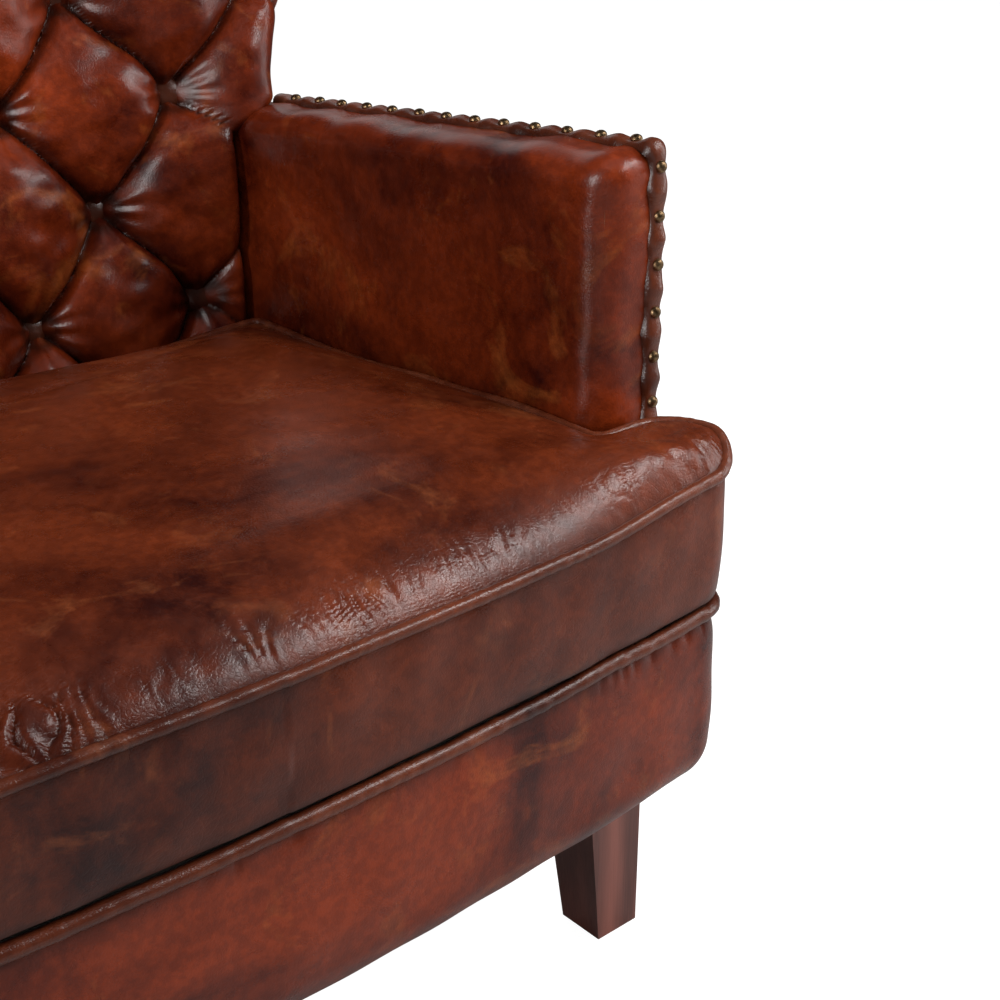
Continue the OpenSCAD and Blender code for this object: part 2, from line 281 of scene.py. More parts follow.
def timber(name, dark, light, rough, coat, grain_scale):
    m, t, b, vec = material(name)
    place = add(t, "ShaderNodeMapping", {"Vector": vec, "Scale": (9.0, 9.0, 0.9)})
    rings = add(t, "ShaderNodeTexWave", {"Vector": place.outputs[0], "Scale": grain_scale, "Distortion": 6.0,
                                         "Detail": 4.0, "Detail Scale": 1.6}, bands_direction="X").outputs[1]
    drawn_out = add(t, "ShaderNodeMapping", {"Vector": vec, "Scale": (900.0, 900.0, 24.0)}).outputs[0]
    pores = noise(t, drawn_out, 1.0, 3)
    tone = math_node(t, "ADD", math_node(t, "MULTIPLY", rings, 0.6), math_node(t, "MULTIPLY", pores, 0.5))
    t.links.new(mix(t, ramp(t, tone, (0.2, 0), (0.85, 1)), (*dark, 1), (*light, 1)), b.inputs["Base Color"])
    t.links.new(ramp(t, pores, (0.3, rough + 0.12), (0.6, rough)), b.inputs["Roughness"])
    b.inputs["Coat Weight"].default_value = coat
    b.inputs["Coat Roughness"].default_value = 0.3
    bump(t, b, pores, 0.25, 0.0003)
    return m


LEG_WOOD = timber("Dark stained wood", (0.055, 0.016, 0.012), (0.16, 0.050, 0.036), 0.32, 0.42, 1.2)
RAW_WOOD = timber("Raw hardwood", (0.10, 0.050, 0.026), (0.20, 0.110, 0.060), 0.6, 0.0, 1.4)


def fabric(name, dark, light, threads, rough=0.9):
    m, t, b, vec = material(name)
    w = add(t, "ShaderNodeGroup", node_tree=WEAVE)
    t.links.new(vec, w.inputs["Vector"])
    w.inputs["Threads"].default_value = threads
    t.links.new(mix(t, w.outputs["Tone"], (*dark, 1), (*light, 1)), b.inputs["Base Color"])
    t.links.new(ramp(t, w.outputs["Height"], (0.0, rough), (1.0, rough - 0.12)), b.inputs["Roughness"])
    bump(t, b, w.outputs["Height"], 0.4, 0.0004)
    return m


DARK_CLOTH = fabric("Dark cloth", (0.008, 0.007, 0.006), (0.05, 0.045, 0.04), 420.0)
STRAP = fabric("Webbing strap", (0.18, 0.13, 0.07), (0.55, 0.44, 0.28), 180.0)
TAPE = fabric("Zip tape", (0.02, 0.01, 0.008), (0.09, 0.045, 0.03), 500.0)


def metal(name, dark, light, rough, scale, metallic=1.0):
    m, t, b, vec = material(name)
    n = noise(t, vec, scale, 6, 0.65, 0.4)
    t.links.new(mix(t, ramp(t, n, (0.35, 0), (0.62, 1)), (*dark, 1), (*light, 1)), b.inputs["Base Color"])
    t.links.new(ramp(t, n, (0.3, rough + 0.2), (0.7, rough)), b.inputs["Roughness"])
    b.inputs["Metallic"].default_value = metallic
    bump(t, b, n, 0.2, 0.0002)
    return m


BRASS = metal("Antique brass", (0.06, 0.032, 0.015), (0.36, 0.235, 0.125), 0.32, 300.0)
STEEL = metal("Spring steel", (0.20, 0.20, 0.21), (0.5, 0.5, 0.52), 0.35, 120.0)
GLIDE = metal("Dark glide plastic", (0.01, 0.01, 0.01), (0.03, 0.03, 0.03), 0.45, 200.0, 0.0)
print("materials made:", [m.name for m in (HIDE, SEAT_HIDE, LEG_WOOD, BRASS)])

# %% [markdown]
# ## The outline of the seat
# The cushion is T-shaped: it fits between the arms and spreads out in front of them in two round lobes,
# joined by a gently bowed front. One walk round that outline, with the outward direction at every point,
# is all that the cushion, its cord, the base and the seat deck need. Each is the same walk moved inwards.

# %% Walk round the T-shaped outline
def arc(cx, cy, r, a0, a1, step, inward=1.0):
    n = max(4, int(abs(a1 - a0) * r / step))
    a = np.linspace(a0, a1, n, endpoint=False)
    d = np.stack([np.cos(a), np.sin(a)], -1)
    return np.array([cx, cy]) + r * d, d * inward


def line(p, q, step):
    p, q = np.array(p, float), np.array(q, float)
    n = max(2, int(np.hypot(*(q - p)) / step))
    t = np.linspace(0, 1, n, endpoint=False)[:, None]
    d = (q - p) / np.hypot(*(q - p))
    return p + (q - p) * t, np.repeat([[d[1], -d[0]]], n, 0)


def outline(step=0.0035, whole=True):
    half = math.asin(LOBE_X / BOW_R)
    shoulder, fillet, corner = LOBE_Y + LOBE_R, 0.006, 0.012
    right = [arc(0, FRONT + BOW_R, BOW_R, -math.pi / 2, -math.pi / 2 + half, step),
             arc(LOBE_X, LOBE_Y, LOBE_R, -math.pi / 2 + half, math.pi / 2, step * 0.7),
             line((LOBE_X, shoulder), (NECK + fillet, shoulder), step)]
    if whole:
        right += [arc(NECK + fillet, shoulder + fillet, fillet, -math.pi / 2, -math.pi, step * 0.4, -1.0),
                  line((NECK, shoulder + fillet), (NECK, SEAT_BACK - corner), step),
                  arc(NECK - corner, SEAT_BACK - corner, corner, 0, math.pi / 2, step * 0.5),
                  line((NECK - corner, SEAT_BACK), (0, SEAT_BACK), step)]
    p = np.concatenate([a for a, _ in right])
    n = np.concatenate([b for _, b in right])
    if whole:
        p, n = np.concatenate([p, [[0, SEAT_BACK]]]), np.concatenate([n, [[0, 1]]])
    mp, mn = p[1:][::-1] * [-1, 1], n[1:][::-1] * [-1, 1]
    if whole:
        return np.concatenate([p, mp[1:]]), np.concatenate([n, mn[1:]])
    return np.concatenate([mp, p]), np.concatenate([mn, n])


CORD_SIDES = 16


def tube(path, normal_up, r, wobble=0.0, seed=1):
    """Points of a round cord along a flat path; normal_up holds each point's outward direction."""
    n = len(path)
    a = np.linspace(0, 2 * np.pi, CORD_SIDES, endpoint=False)
    s = np.arange(n) * 0.0035
    rr = r * (1 + wobble * ripple(s, 0 * s, 0.02, seed))
    up = np.array([0, 0, 1.0])
    off = np.cos(a)[None, :, None] * normal_up[:, None, :] + np.sin(a)[None, :, None] * up
    return path[:, None, :] + rr[:, None, None] * off


def flat3(p, z):
    return np.column_stack([p[:, 0], p[:, 1] + Y_MID, np.broadcast_to(z, len(p))])


T_PTS, T_NRM = outline(0.0021 / FINE)
F_PTS, F_NRM = outline(0.0024 / FINE, whole=False)
T_TREE = KDTree(len(T_PTS))
for i, q in enumerate(T_PTS):
    T_TREE.insert((q[0], q[1], 0), i)
T_TREE.balance()
T_S = np.concatenate([[0], np.cumsum(np.hypot(*np.diff(T_PTS, axis=0).T))])
print("outline points:", len(T_PTS), "round the cushion:", round(float(T_S[-1]), 2), "m")


def filled_disc(inset, z_of, rings, power=0.55, centre=(0.0, -0.325)):
    """Rings of points from the outline to a centre, with z_of(x, y, distance in from the edge, run)."""
    edge = T_PTS - T_NRM * inset
    t = 1 - np.linspace(0, 1, rings) ** (1 / power) * 0.985
    xy = np.array(centre) + t[:, None, None] * (edge - np.array(centre))
    flat = xy.reshape(-1, 2)
    found = [T_TREE.find((x, y, 0)) for x, y in flat.tolist()]
    d = np.maximum(np.array([f[2] for f in found]) - inset, 0)
    run = T_S[np.array([f[1] for f in found])]
    z, fold = z_of(flat[:, 0], flat[:, 1], d, run)
    v = np.column_stack([flat[:, 0], flat[:, 1] + Y_MID, z])
    f = quads(rings, len(edge), closed=True).tolist()
    f.append(list(range((rings - 1) * len(edge), rings * len(edge))))
    return v, f, fold


# %% [markdown]
# ## The seat cushion
# The top swells quickly near its cord and then slowly towards the middle, the way a stuffed cover does.
# Stitching gathers the leather, so the top is puckered just inside the front cord. The border bulges a
# little. A real cushion is one cover with a cord in the seam, so cover and cord are two pieces.

# %% Make the cushion cover
def edge_rise(x, y):
    """The seam climbs where the cover is squeezed against the arms."""
    climb = 0.024 * smooth(np.abs(x), 0.19, 0.31) * smooth(y, -0.404, -0.348)
    return climb * (1 - 0.78 * smooth(y, -0.31, 0.03))


SWELL, DOME, PUCKER_PITCH, PUCKER_DEPTH = 0.0245, 0.0235, 0.0082, 0.0052
# Each sitting crease: middle across, middle front to back, direction, half its length, depth.
SITTING_CREASES = ((0.30, -0.33, 2.4, 0.07, 0.0016), (0.27, -0.30, 2.1, 0.10, 0.0013),
                   (-0.29, -0.33, 0.8, 0.08, 0.0015), (0.05, -0.05, 0.3, 0.22, 0.0012),
                   (-0.12, -0.12, -0.5, 0.20, 0.0011), (0.20, 0.02, 2.6, 0.16, 0.0012))


def cushion_top(x, y, d, run):
    """Height and fold depth of the cover, d in from the seam and run along it."""
    dome = np.clip(1 - (x / 0.43) ** 2 - ((y + 0.14) / 0.36) ** 2, 0, 1)
    z = CUSH_EDGE + edge_rise(x, y) * (1 - 0.6 * smooth(d, 0, 0.08))
    lobe = smooth(np.abs(x), 0.22, 0.33) * smooth(y, -0.39, -0.34)
    swell = SWELL * (1 - 0.5 * smooth(y, -0.1, 0.08)) * (1 - 0.55 * lobe) * (1 - np.exp(-d / 0.015))
    z += swell + DOME * dome * smooth(d, 0, 0.08)
    z += 0.0006 * ripple(x, y, 0.19, 11) * smooth(d, 0.01, 0.07)
    z += 0.00012 * ripple(x, y, 0.05, 12) * smooth(d, 0.01, 0.05)
    front = smooth(-y, 0.30, 0.36)
    gate = np.clip(0.55 + 0.4 * ripple(run, 0 * run, 0.11, 13), 0.12, 1.2)
    gate = gate * (0.4 + 0.6 * smooth(0.24 - x, 0, 0.16)) * (0.25 + 0.75 * front)
    phase = run / PUCKER_PITCH + 0.8 * ripple(run, 0 * run, 0.05, 14) + 0.35 * ripple(d, run, 0.025, 15)
    ridge = 1 - np.abs(np.sin(np.pi * phase)) ** 0.9
    z -= PUCKER_DEPTH * gate * ridge * np.exp(-((d - 0.014) / 0.012) ** 2)
    for cx, cy, ang, length, deep in SITTING_CREASES:
        u = (x - cx) * math.cos(ang) + (y - cy) * math.sin(ang)
        w = -(x - cx) * math.sin(ang) + (y - cy) * math.cos(ang) + 0.004 * np.sin(u * 35)
        z -= deep * np.exp(-(w / 0.006) ** 2) * np.exp(-(u / length) ** 4)
    # The fold returned here darkens the seam edge and the pucker hollows as painted shade.
    return z, np.exp(-d / 0.0022) * 0.8 + 0.25 * gate * ridge * np.exp(-((d - 0.009) / 0.010) ** 2)


def cushion_underside(x, y, d, run):
    return CUSH_BOTTOM + 0.003 - 0.0028 * smooth(d, 0, 0.02), 0 * d


RINGS = int(115 * FINE)
top_v, top_f, top_fold = filled_disc(0.004, cushion_top, RINGS)
low_v, low_f, low_fold = filled_disc(0.005, cushion_underside, 14)
rows = int(26 * FINE) + 2
v01 = np.linspace(0, 1, rows)[:, None]
inset = 0.0046 - 0.0034 * np.sin(np.pi * v01) ** 0.7 + 0.0004 * ripple(T_S[None, :], v01 * 0.08, 0.05, 21)
side_xy = T_PTS[None] - T_NRM[None] * inset[..., None]
T_RISE = edge_rise(T_PTS[:, 0], T_PTS[:, 1])
side_z = CUSH_BOTTOM + 0.0015 + (CUSH_EDGE - 0.0050 - CUSH_BOTTOM + T_RISE[None, :]) * v01
side_v = np.stack([side_xy[..., 0], side_xy[..., 1] + Y_MID, side_z], -1).reshape(-1, 3)
# Painted shade along the border's top and bottom seams.
side_fold = (np.exp(-(1 - v01) / 0.035) * 0.9 + np.exp(-v01 / 0.05) * 0.8 + 0 * T_S[None, :]).reshape(-1)
side_f = quads(rows, len(T_PTS), closed=True)
n1, n2 = len(top_v), len(top_v) + len(side_v)
cover_f = top_f + (side_f + n1).tolist() + [[i + n2 for i in f] for f in low_f]
cover = piece("seat_cushion_cover", np.concatenate([top_v, side_v, low_v]), cover_f, SEAT_HIDE, SEAT,
              ("cushion_core", "cushion_border", "cushion_top", "cushion_bottom"),
              np.concatenate([top_fold, side_fold, low_fold]))

front_swell = 0.0012 * smooth(-T_PTS[:, 1], 0.33, 0.36)[:, None]
cord_z = CUSH_EDGE + T_RISE + 0.0006 * ripple(T_S, 0 * T_S, 0.09, 31)
cord_path = flat3(T_PTS - T_NRM * (0.0042 - front_swell), cord_z)
cord_v = tube(cord_path, np.column_stack([T_NRM, 0 * T_S]), WELT_R, 0.02, 32)
here, following = np.arange(CORD_SIDES), (np.arange(CORD_SIDES) + 1) % CORD_SIDES
last = (len(cord_v) - 1) * CORD_SIDES
closing = np.stack([last + here, last + following, following, here], -1)
cord_f = np.concatenate([quads(len(cord_v), CORD_SIDES, True), closing])
piece("seat_cushion_cord", cord_v.reshape(-1, 3), cord_f, CORD_HIDE, SEAT, ("cushion_welt",))
print("cushion stands", round(float(top_v[:, 2].max()), 3), "m high at its crown")

# %% [markdown]
# A zip runs along the back of the border, where nobody sees it. A strip of tape carries a row of small
# teeth, which is the detail that makes a plain strip read as a zip.

# %% Make the zip
BOX_FACES = np.array([[0, 1, 3, 2], [4, 6, 7, 5], [0, 4, 5, 1], [2, 3, 7, 6], [0, 2, 6, 4], [1, 5, 7, 3]])
TEETH, TOOTH_PITCH = 120, 0.0031
xs = np.linspace(-0.19, 0.19, 60)
tape_y = np.full_like(xs, SEAT_BACK - 0.0008 + Y_MID)
tape = np.stack([np.stack([xs, tape_y, np.full_like(xs, CUSH_BOTTOM + z)], -1)
                 for z in (0.026, 0.037, 0.0375, 0.041, 0.0415, 0.052)])
tape[2:4, :, 1] += 0.0008
verts, faces = [tape.reshape(-1, 3)], [quads(6, 60)]
count = 360
for k in range(TEETH):
    x0 = -0.186 + k * TOOTH_PITCH
    y0, z0 = SEAT_BACK + 0.0002 + Y_MID, CUSH_BOTTOM + 0.0375 + (0.0009 if k % 2 else 0)
    b = np.array([[x, y, z] for x in (x0, x0 + 0.0017) for y in (y0, y0 + 0.0012) for z in (z0, z0 + 0.003)])
    verts.append(b)
    faces.append(BOX_FACES + count)
    count += 8
piece("seat_cushion_zip", np.concatenate(verts), np.concatenate(faces), TAPE, SEAT,
      ("cushion_zip",), smooth_faces=False)

# %% [markdown]
# ## The base
# Below the cushion a padded band follows the same bow. It is fullest just under its cord, runs almost
# straight down and then rolls under the rail. Staples under the cord pull small dimples in the leather.

# %% Make the front of the base, its cord and the seat deck
F_S = np.concatenate([[0], np.cumsum(np.hypot(*np.diff(F_PTS, axis=0).T))])
ROLL = 0.032
turn = np.linspace(0, np.pi / 2 * 1.02, int(22 * FINE))
drop = np.linspace(BASE_TOP, BASE_BOTTOM + ROLL, int(40 * FINE))
z_rows = np.concatenate([drop, BASE_BOTTOM + ROLL - ROLL * np.sin(turn[1:])])


def belly(below):
    """How far the cover lies inside the outline, that far below the cord."""
    return 0.0078 - 0.0044 * np.sin(np.pi * np.clip(below / 0.15, 0, 1)) ** 0.6


in_rows = np.concatenate([belly(BASE_TOP - drop),
                          belly(BASE_TOP - BASE_BOTTOM - ROLL) + ROLL * (1 - np.cos(turn[1:]))])
down = (BASE_TOP - z_rows)[:, None]
sag = np.clip(0.5 + 0.6 * ripple(F_S, 0 * F_S, 0.14, 40), 0.05, 1.3)
pull = (1 - np.abs(np.sin(np.pi * (F_S[None] / 0.017 + 0.5 * ripple(F_S, 0 * F_S, 0.09, 41)[None]))) ** 0.6)
dimple = 0.0026 * pull * sag[None] * np.exp(-((down - 0.002) / 0.0065) ** 2)
inset = in_rows[:, None] + dimple + 0.0005 * ripple(F_S[None], down, 0.07, 42)
xy = F_PTS[None] - F_NRM[None] * inset[..., None]
band = np.stack([xy[..., 0], xy[..., 1] + Y_MID, z_rows[:, None] + 0 * F_S[None]], -1)
# Painted shade just under the cord and in the staple dimples.
band_fold = np.exp(-down / 0.004) * 0.9 + 0.3 * pull * sag[None] * np.exp(-(down / 0.007) ** 2)
piece("base_front_band", band.reshape(-1, 3), quads(len(z_rows), len(F_PTS)), HIDE, ROOT,
                ("front_border",), band_fold.reshape(-1))
cord_path = flat3(F_PTS - F_NRM * 0.0062, BASE_TOP + 0.0064 + 0.0006 * ripple(F_S, 0 * F_S, 0.12, 43))
cord_v = tube(cord_path, np.column_stack([F_NRM, 0 * F_S]), 0.0050, 0.03, 44)
piece("base_cord", cord_v.reshape(-1, 3), quads(len(cord_v), CORD_SIDES, True), CORD_HIDE, ROOT,
      ("base_welt",))


def deck_top(x, y, d, run):
    return BASE_TOP + 0.0005 + 0.0122 * (1 - np.exp(-d / 0.006)) + 0.0002 * ripple(x, y, 0.06, 45), 0 * d


deck_v, deck_f, _ = filled_disc(0.0112, deck_top, 30)
piece("seat_deck_pad", deck_v, deck_f, DARK_CLOTH, ROOT, ("seat_deck",))
ring = flat3(F_PTS - F_NRM * 0.033, BASE_BOTTOM + 0.0012)
under_y = np.linspace(0, 1, 60)[:, None]
under_sag = 0.0016 * np.sin(np.pi * under_y) * (1 - (ring[None, :, 0] / 0.36) ** 2)
under = np.stack([ring[None, :, 0] * (1 - under_y) + np.clip(ring[None, :, 0] * 1.2, -0.35, 0.35) * under_y,
                  ring[None, :, 1] * (1 - under_y) + (0.178 + Y_MID) * under_y,
                  ring[None, :, 2] - under_sag], -1)
piece("dust_cloth", under.reshape(-1, 3), quads(len(under_y), len(ring)), DARK_CLOTH, ROOT,
      ("dust_cover",))
print("base band rows:", len(z_rows))

# %% [markdown]
# ## The arms
# Each arm is a slim padded board. A box whose edges are rounded by different amounts on different sides
# gives the soft inner edge and the crisp outer one. It is then sheared so that the top falls to the back.

# %% Make the arm pads
def round_box(lo, hi, r_lo, r_hi, step):
    lo, hi, r_lo, r_hi = (np.array(a, float) for a in (lo, hi, r_lo, r_hi))
    verts, faces, count = [], [], 0
    for axis in range(3):
        u, w = [k for k in range(3) if k != axis]
        nu, nw = (max(3, int((hi[k] - lo[k]) / step) + 1) for k in (u, w))
        gu, gw = np.meshgrid(np.linspace(lo[u], hi[u], nu), np.linspace(lo[w], hi[w], nw), indexing="ij")
        for side in (lo, hi):
            p = np.zeros((nu, nw, 3))
            p[..., u], p[..., w], p[..., axis] = gu, gw, side[axis]
            verts.append(p.reshape(-1, 3))
            faces.append(quads(nu, nw) + count)
            count += nu * nw
    p = np.concatenate(verts)
    core = np.clip(p, lo + r_lo, hi - r_hi)
    scale = np.where(p < core, r_lo, r_hi)
    n = (p - core) / scale
    length = np.linalg.norm(n, axis=1, keepdims=True)
    return core + scale * n / np.maximum(length, 1e-9), np.concatenate(faces)


def arm_top(y):
    return ARM_H - (y - ARM_FRONT) * ARM_SLOPE


PAD_BOTTOM, PAD_BACK, PAD_OUT = 0.301, 0.246, 0.3535

for side, name in ((-1, "left"), (1, "right")):
    p, f = round_box((ARM_IN, ARM_FRONT, PAD_BOTTOM), (PAD_OUT, PAD_BACK, ARM_H),
                     (0.026, 0.024, 0.002), (0.005, 0.003, 0.019), 0.0032 / FINE)
    x, y, z = p.T.copy()
    share = (z - PAD_BOTTOM) / (ARM_H - PAD_BOTTOM)
    y = ARM_FRONT + (y - ARM_FRONT) * (0.202 + 0.044 * share - ARM_FRONT) / (PAD_BACK - ARM_FRONT)
    z = z - share * (y - ARM_FRONT) * ARM_SLOPE
    inner = smooth(0.330 - p[:, 0], 0, 0.02)
    x = x + inner * (0.0008 + 0.0006 * ripple(y, z, 0.10, 51 + side) + 0.0002 * ripple(y, z, 0.03, 53))
    z = z + 0.0012 * smooth(share, 0.9, 1) * ripple(x * 0.4, y, 0.06, 54 + side)
    y = y - 0.0012 * smooth(ARM_FRONT + 0.02 - p[:, 1], 0, 0.02) * (1 + ripple(x, z, 0.05, 56 + side)) * 0.5
    # Painted shade on the arm cover, deepest where it meets the cushion.
    fold = np.exp(-np.maximum(z - CUSH_EDGE, 0) / 0.02) * 0.15
    piece("arm_cover_" + name, np.column_stack([x * side, y + Y_MID, z]), f, HIDE, ROOT,
                    ("arm_pad_" + name,), fold)

# %% [markdown]
# Behind each lobe the base cover is tucked round the end of the rail. A thin leather tuck closes the
# slit between the lobe and the outside of the arm, so that no timber shows there.

# %% Make the tucks beside the lobes
for side, name in ((-1, "left"), (1, "right")):
    p, f = round_box((0.300, -0.3114, 0.1725), (0.3545, -0.3086, 0.3095), (0.0012,) * 3, (0.0012,) * 3, 0.004)
    piece("lobe_tuck_" + name, np.column_stack([p[:, 0] * side, p[:, 1] + Y_MID, p[:, 2]]), f, HIDE, ROOT)
print("two tucks beside the lobes")

# %% [markdown]
# A narrow leather band covers the raw edge where the arm cover meets the outside panel. Dome nails hold
# it, and between nails the leather lifts a little, so both edges are scalloped.

# %% Make the nailed bands and the nails
def band_path(step):
    r = 0.010
    corner_y, corner_z = ARM_FRONT - 0.0030 + r, ARM_H + 0.0026 - r
    up = [(ARM_FRONT - 0.0030, z) for z in np.arange(0.305, corner_z, step)]
    bend = [(corner_y - r * math.cos(a), corner_z + r * math.sin(a))
            for a in np.linspace(0, math.pi / 2 - ARM_SLOPE, 10)]
    back = [(y, arm_top(y) + 0.0026) for y in np.arange(corner_y + 0.002, 0.110, step)]
    return np.array(up + bend + back)


def dome(radius, height, segs=20, rings=7):
    a = np.linspace(0, 2 * np.pi, segs, endpoint=False)
    e = np.linspace(0, 1, rings)
    prof_r = radius * np.cos(e * np.pi / 2 * 0.97)
    prof_z = height * np.sin(e * np.pi / 2) ** 0.9
    v = np.stack([prof_r[:, None] * np.cos(a), prof_r[:, None] * np.sin(a), prof_z[:, None] + 0 * a], -1)
    cap = list(range((rings - 1) * segs, rings * segs))
    return v.reshape(-1, 3), quads(rings, segs, True).tolist() + [cap]


BAND_X = 0.3515
rng = np.random.default_rng(7)
for side, name in ((-1, "left"), (1, "right")):
    path = band_path(0.0012 / FINE)
    run = np.concatenate([[0], np.cumsum(np.hypot(*np.diff(path, axis=0).T))])
    tan = np.gradient(path, axis=0)
    tan /= np.linalg.norm(tan, axis=1, keepdims=True)
    nrm = np.column_stack([-tan[:, 1], tan[:, 0]])
    nails = [(-0.3062, 0.582 - k * NAIL_PITCH) for k in range(7)]
    nails += [(y, arm_top(y) + 0.003) for y in (-0.284 + k * NAIL_PITCH for k in range(13))]
    at = np.array([run[np.argmin(np.hypot(*(path - n).T))] for n in nails])
    near = np.abs(run[:, None] - at[None]).min(1)
    lift = smooth(near, 0.002, 0.016)
    across = np.linspace(-1, 1, 15)
    half = 0.0066 + 0.0019 * lift + 0.0003 * ripple(run, 0 * run, 0.02, 61 + side)
    thick = (0.0010 + 0.0026 * lift)[:, None] * (1 - np.abs(across)[None] ** 2.2)
    thick = thick - 0.0046 * np.abs(across)[None] ** 8
    thick = thick + 0.0008 * np.sin(run * 330)[:, None] * across[None] * (lift * 0.7)[:, None]
    px = BAND_X + across[None] * half[:, None]
    pts = np.stack([px * side, path[:, None, 0] + nrm[:, None, 0] * thick + Y_MID,
                    path[:, None, 1] + nrm[:, None, 1] * thick], -1)
    # Painted shade along both edges of the band.
    fold = np.broadcast_to((np.abs(across) ** 6)[None] * 0.9, thick.shape)
    piece("nail_band_" + name, pts.reshape(-1, 3), quads(len(path), len(across)), CORD_HIDE, ROOT,
          ("nail_strip_" + name,), fold.reshape(-1))
    verts, faces, count = [], [], 0
    for ny, nz in nails:
        i = np.argmin(np.hypot(*(path - (ny, nz)).T))
        v, f = dome(0.0041, 0.0034)
        out = np.array([0, nrm[i, 0], nrm[i, 1]])
        t1 = np.array([0, tan[i, 0], tan[i, 1]])
        base = np.array([BAND_X + rng.uniform(-0.0006, 0.0006), path[i, 0], path[i, 1]]) + out * 0.0011
        w = base + v[:, :1] * np.array([1.0, 0, 0]) + v[:, 1:2] * t1 + v[:, 2:] * out
        w[:, 0] *= side
        w[:, 1] += Y_MID
        verts.append(w)
        faces += [[j + count for j in q] for q in f]
        count += len(w)
    piece("dome_nails_" + name, np.concatenate(verts), faces, BRASS, ROOT, ("nails_" + name,))
print("nails on each arm:", len(nails))

# %% [markdown]
# ## The outside panels
# The outside of each arm and the back are flat leather over thin wadding. A panel that is flat to the
# millimetre looks like plastic, so each swells slightly and turns in at its edges.

# %% Make the outside arm and back panels
def panel(name, edge_pts, plane, depth, replaces, seed, to_world):
    """edge_pts(u, v) gives the panel's flat position for u, v in 0..1; plane is its outer face."""
    n, m = int(150 * FINE), int(130 * FINE)
    u, v = np.meshgrid(np.linspace(0, 1, m), np.linspace(0, 1, n))
    u, v = (0.5 - 0.5 * np.cos(np.pi * a) for a in (u, v))
    a, b = edge_pts(u, v)
    rim = np.minimum(np.minimum(u, 1 - u), np.minimum(v, 1 - v))
    puff = (1 - np.exp(-rim / 0.012)) * depth + 0.003 * smooth(rim, 0, 0.35)
    puff = puff + 0.0007 * ripple(a, b, 0.13, seed)
    pts = to_world(a, b, plane - depth + puff)
    # Painted shade along the panel's turned-in edges.
    rim_fold = (np.exp(-rim / 0.006) * 0.7).reshape(-1)
    return piece(name, pts.reshape(-1, 3), quads(n, m), HIDE, ROOT, replaces, rim_fold)


def arm_side(u, v):
    z_low = BASE_BOTTOM + 0 * u
    y_front = ARM_FRONT - 0.008 * (1 - smooth(v, 0.27, 0.31))
    lean_back = np.interp(v, [0, 0.32, 1], [0.184, 0.205, 0.250])
    y = y_front + (lean_back - y_front) * u
    return y, z_low + (arm_top(y) - 0.002 - z_low) * v


# Half width of the back, and the height up the back at which it is reached.
WING_EDGE = np.array([[0.352, 0.285], [0.366, 0.330], [0.380, 0.390], [0.388, 0.460], [0.388, 0.560],
                      [0.382, 0.610], [0.366, 0.648], [0.362, 0.652]])
zz = np.arange(-0.2, 0.75, 0.001)
half_raw = np.interp(zz, WING_EDGE[:, 1], WING_EDGE[:, 0], left=0.352)
half_raw = half_raw - 0.014 * smooth(zz, 0.12, 0.24) * (1 - smooth(zz, 0.27, 0.40))
kernel = np.hanning(41) / np.hanning(41).sum()
half_soft = np.convolve(np.pad(half_raw, 20, mode="edge"), kernel, mode="valid")
CORNER_X, CORNER_Z, SKIRT_Z = 0.362, 0.652, -0.114


def back_half(z):
    return np.minimum(np.interp(z, zz, half_soft), 0.388)


def back_top(x):
    return np.interp(np.abs(x), [0, 0.15, 0.30, 0.338, CORNER_X], [0.690, 0.687, 0.680, 0.670, CORNER_Z])


def back_panel(u, v):
    x0 = (2 * u - 1) * CORNER_X
    z = SKIRT_Z + v * (back_top(x0) - SKIRT_Z)
    return (2 * u - 1) * back_half(SKIRT_Z + v * (CORNER_Z - SKIRT_Z)), z


for side, name in ((-1, "left"), (1, "right")):
    panel("outside_arm_cover_" + name, arm_side, ARM_OUT, 0.005, ("outside_arm_" + name,), 71 + side,
          lambda a, b, d, s=side: np.stack([s * d, a + Y_MID, b], -1))
panel("outside_back_cover", back_panel, 0.132, 0.005, ("outside_back",), 75, lambda a, b, d: lean(a, d, b))

# %% [markdown]
# ## The buttoned back
# Deep buttoning pins the cover through the padding on a diamond grid. Between four buttons the leather
# forms a full pillow, and the spare leather folds into straight pleats that run from button to button.
# The grid can be measured with two slanted counts that are whole numbers exactly on the pleats, so the
# distance to a pleat is a matter of rounding. Wings carry the same pattern forwards, round the sides.

# %% Shape the buttoned surface
def tuft(x, z):
    """How far the cover lies behind the tops of the pillows, and how deep in a fold each point is."""
    p = x / BUTTON_DX + (z - BUTTON_Z0) / (2 * BUTTON_DZ)
    q = x / BUTTON_DX - (z - BUTTON_Z0) / (2 * BUTTON_DZ)
    wander = 0.012 * ripple(x, z, 0.09, 81)
    dp, dq = np.abs(p + wander - np.round(p + wander)), np.abs(q + wander - np.round(q + wander))
    metre = 1 / math.hypot(1 / BUTTON_DX, 1 / (2 * BUTTON_DZ))
    pillow = np.sqrt(np.sin(np.pi * dp) ** 0.75 * np.sin(np.pi * dq) ** 0.75 + 1e-9)
    pleat = np.minimum(dp, dq) * metre
    bx = (np.round(p) + np.round(q)) / 2 * BUTTON_DX
    bz = BUTTON_Z0 + (np.round(p) - np.round(q)) * BUTTON_DZ
    r = np.hypot(x - bx, z - bz)
    theta = np.arctan2(z - bz, x - bx)
    depth = 0.024 * (1 - pillow) + 0.0045 * np.exp(-pleat / 0.0035) + 0.010 * np.exp(-(r / 0.020) ** 2)
    depth += 0.0012 * np.cos(11 * theta + 3 * bx * 40) * np.exp(-((r - 0.020) / 0.012) ** 2)
    depth += 0.0011 * ripple(x, z, 0.07, 82) + 0.0005 * ripple(x, z, 0.025, 83)
    # The fold value is painted shade along the pleats and round each button.
    fold = np.exp(-pleat / 0.0022) * (1 - 0.3 * smooth(r, 0.02, 0.06))
    fold = fold + 0.8 * np.exp(-((r - 0.0125) / 0.004) ** 2)
    return depth, fold


